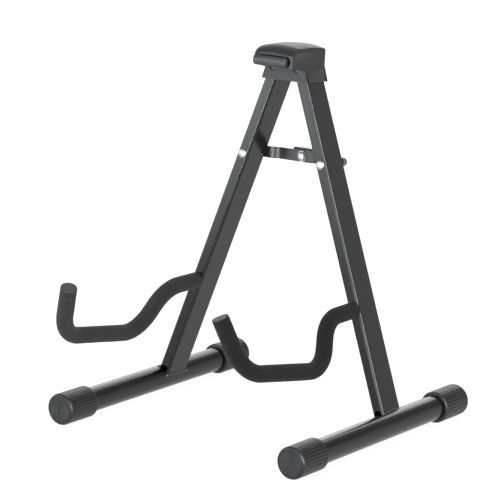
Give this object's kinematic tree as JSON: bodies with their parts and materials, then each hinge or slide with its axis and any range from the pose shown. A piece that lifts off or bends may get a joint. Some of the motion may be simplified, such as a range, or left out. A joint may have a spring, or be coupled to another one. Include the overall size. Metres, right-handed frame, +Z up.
{
  "type": "guitar stand",
  "caption": "Folding A-frame guitar stand, open and empty: box-section legs on round feet, a moulded head with a rubber bumper, a folding brace and foam-covered cradle arms.",
  "frame": {"origin": "on the floor, under the middle of the stand's bounding box", "axes": "+Z up, +X to the right of someone who faces the side the guitar leans on, and that side faces -Y"},
  "size_m": [0.3142, 0.3526, 0.3793],
  "materials": {
    "leg_paint": "satin black powder coat",
    "foot_paint": "semi-gloss black powder coat",
    "foam": "matte closed-cell foam sleeve",
    "cap_rubber": "matte moulded rubber",
    "head_plastic": "satin moulded plastic",
    "bumper_rubber": "soft satin rubber",
    "zinc": "bright zinc plating",
    "black_steel": "satin black coating",
    "steel": "plain steel"
  },
  "bodies": {
    "head": {"head_shell": "head_plastic", "neck_bumper": "bumper_rubber", "left_pivot_bolt": "black_steel", "left_pivot_nut": "zinc", "right_pivot_bolt": "black_steel", "right_pivot_nut": "zinc"},
    "left_leg": {"left_leg_tube": "leg_paint", "left_foot_tube": "foot_paint", "left_front_cap": "cap_rubber", "left_rear_cap": "cap_rubber", "left_cradle_rod": "steel", "left_cradle_foam": "foam", "left_cradle_tip": "cap_rubber", "left_pivot_sleeve": "steel", "left_brace_sleeve": "steel", "left_brace_bolt": "zinc", "left_brace_washer": "zinc", "left_brace_nut": "black_steel"},
    "right_leg": {"right_leg_tube": "leg_paint", "right_foot_tube": "foot_paint", "right_front_cap": "cap_rubber", "right_rear_cap": "cap_rubber", "right_cradle_rod": "steel", "right_cradle_foam": "foam", "right_cradle_tip": "cap_rubber", "right_pivot_sleeve": "steel", "right_brace_sleeve": "steel", "right_brace_bolt": "zinc"},
    "left_link": {"left_link": "black_steel", "centre_rivet": "zinc", "centre_washer": "zinc"},
    "right_link": {"right_link": "black_steel", "right_brace_washer": "zinc", "right_brace_nut": "black_steel"}
  },
  "joints": [
    {"name": "left_leg_fold", "type": "hinge", "parent": "head", "child": "left_leg", "pos_m": [-0.0145, 0.07133, 0.35374], "axis": [0, -0.9983, 0.0586], "range_deg": [0, 19.5]},
    {"name": "right_leg_fold", "type": "hinge", "parent": "head", "child": "right_leg", "pos_m": [0.0145, 0.07133, 0.35374], "axis": [0, 0.9983, -0.0586], "range_deg": [0, 19.5]},
    {"name": "left_link_fold", "type": "hinge", "parent": "left_leg", "child": "left_link", "pos_m": [-0.04765, 0.06597, 0.26253], "axis": [0, -0.9983, 0.0586], "range_deg": [0, 51.85]},
    {"name": "right_link_fold", "type": "hinge", "parent": "left_link", "child": "right_link", "pos_m": [0, 0.06597, 0.26253], "axis": [0, 0.9983, -0.0586], "range_deg": [0, 142.69]}
  ],
  "couplings": [
    {"joint": "right_leg_fold", "follows": "left_leg_fold", "ratio": 1},
    {"joint": "left_link_fold", "follows": "left_leg_fold", "ratio": 2.6584},
    {"joint": "right_link_fold", "follows": "left_leg_fold", "ratio": 7.3168}
  ]
}
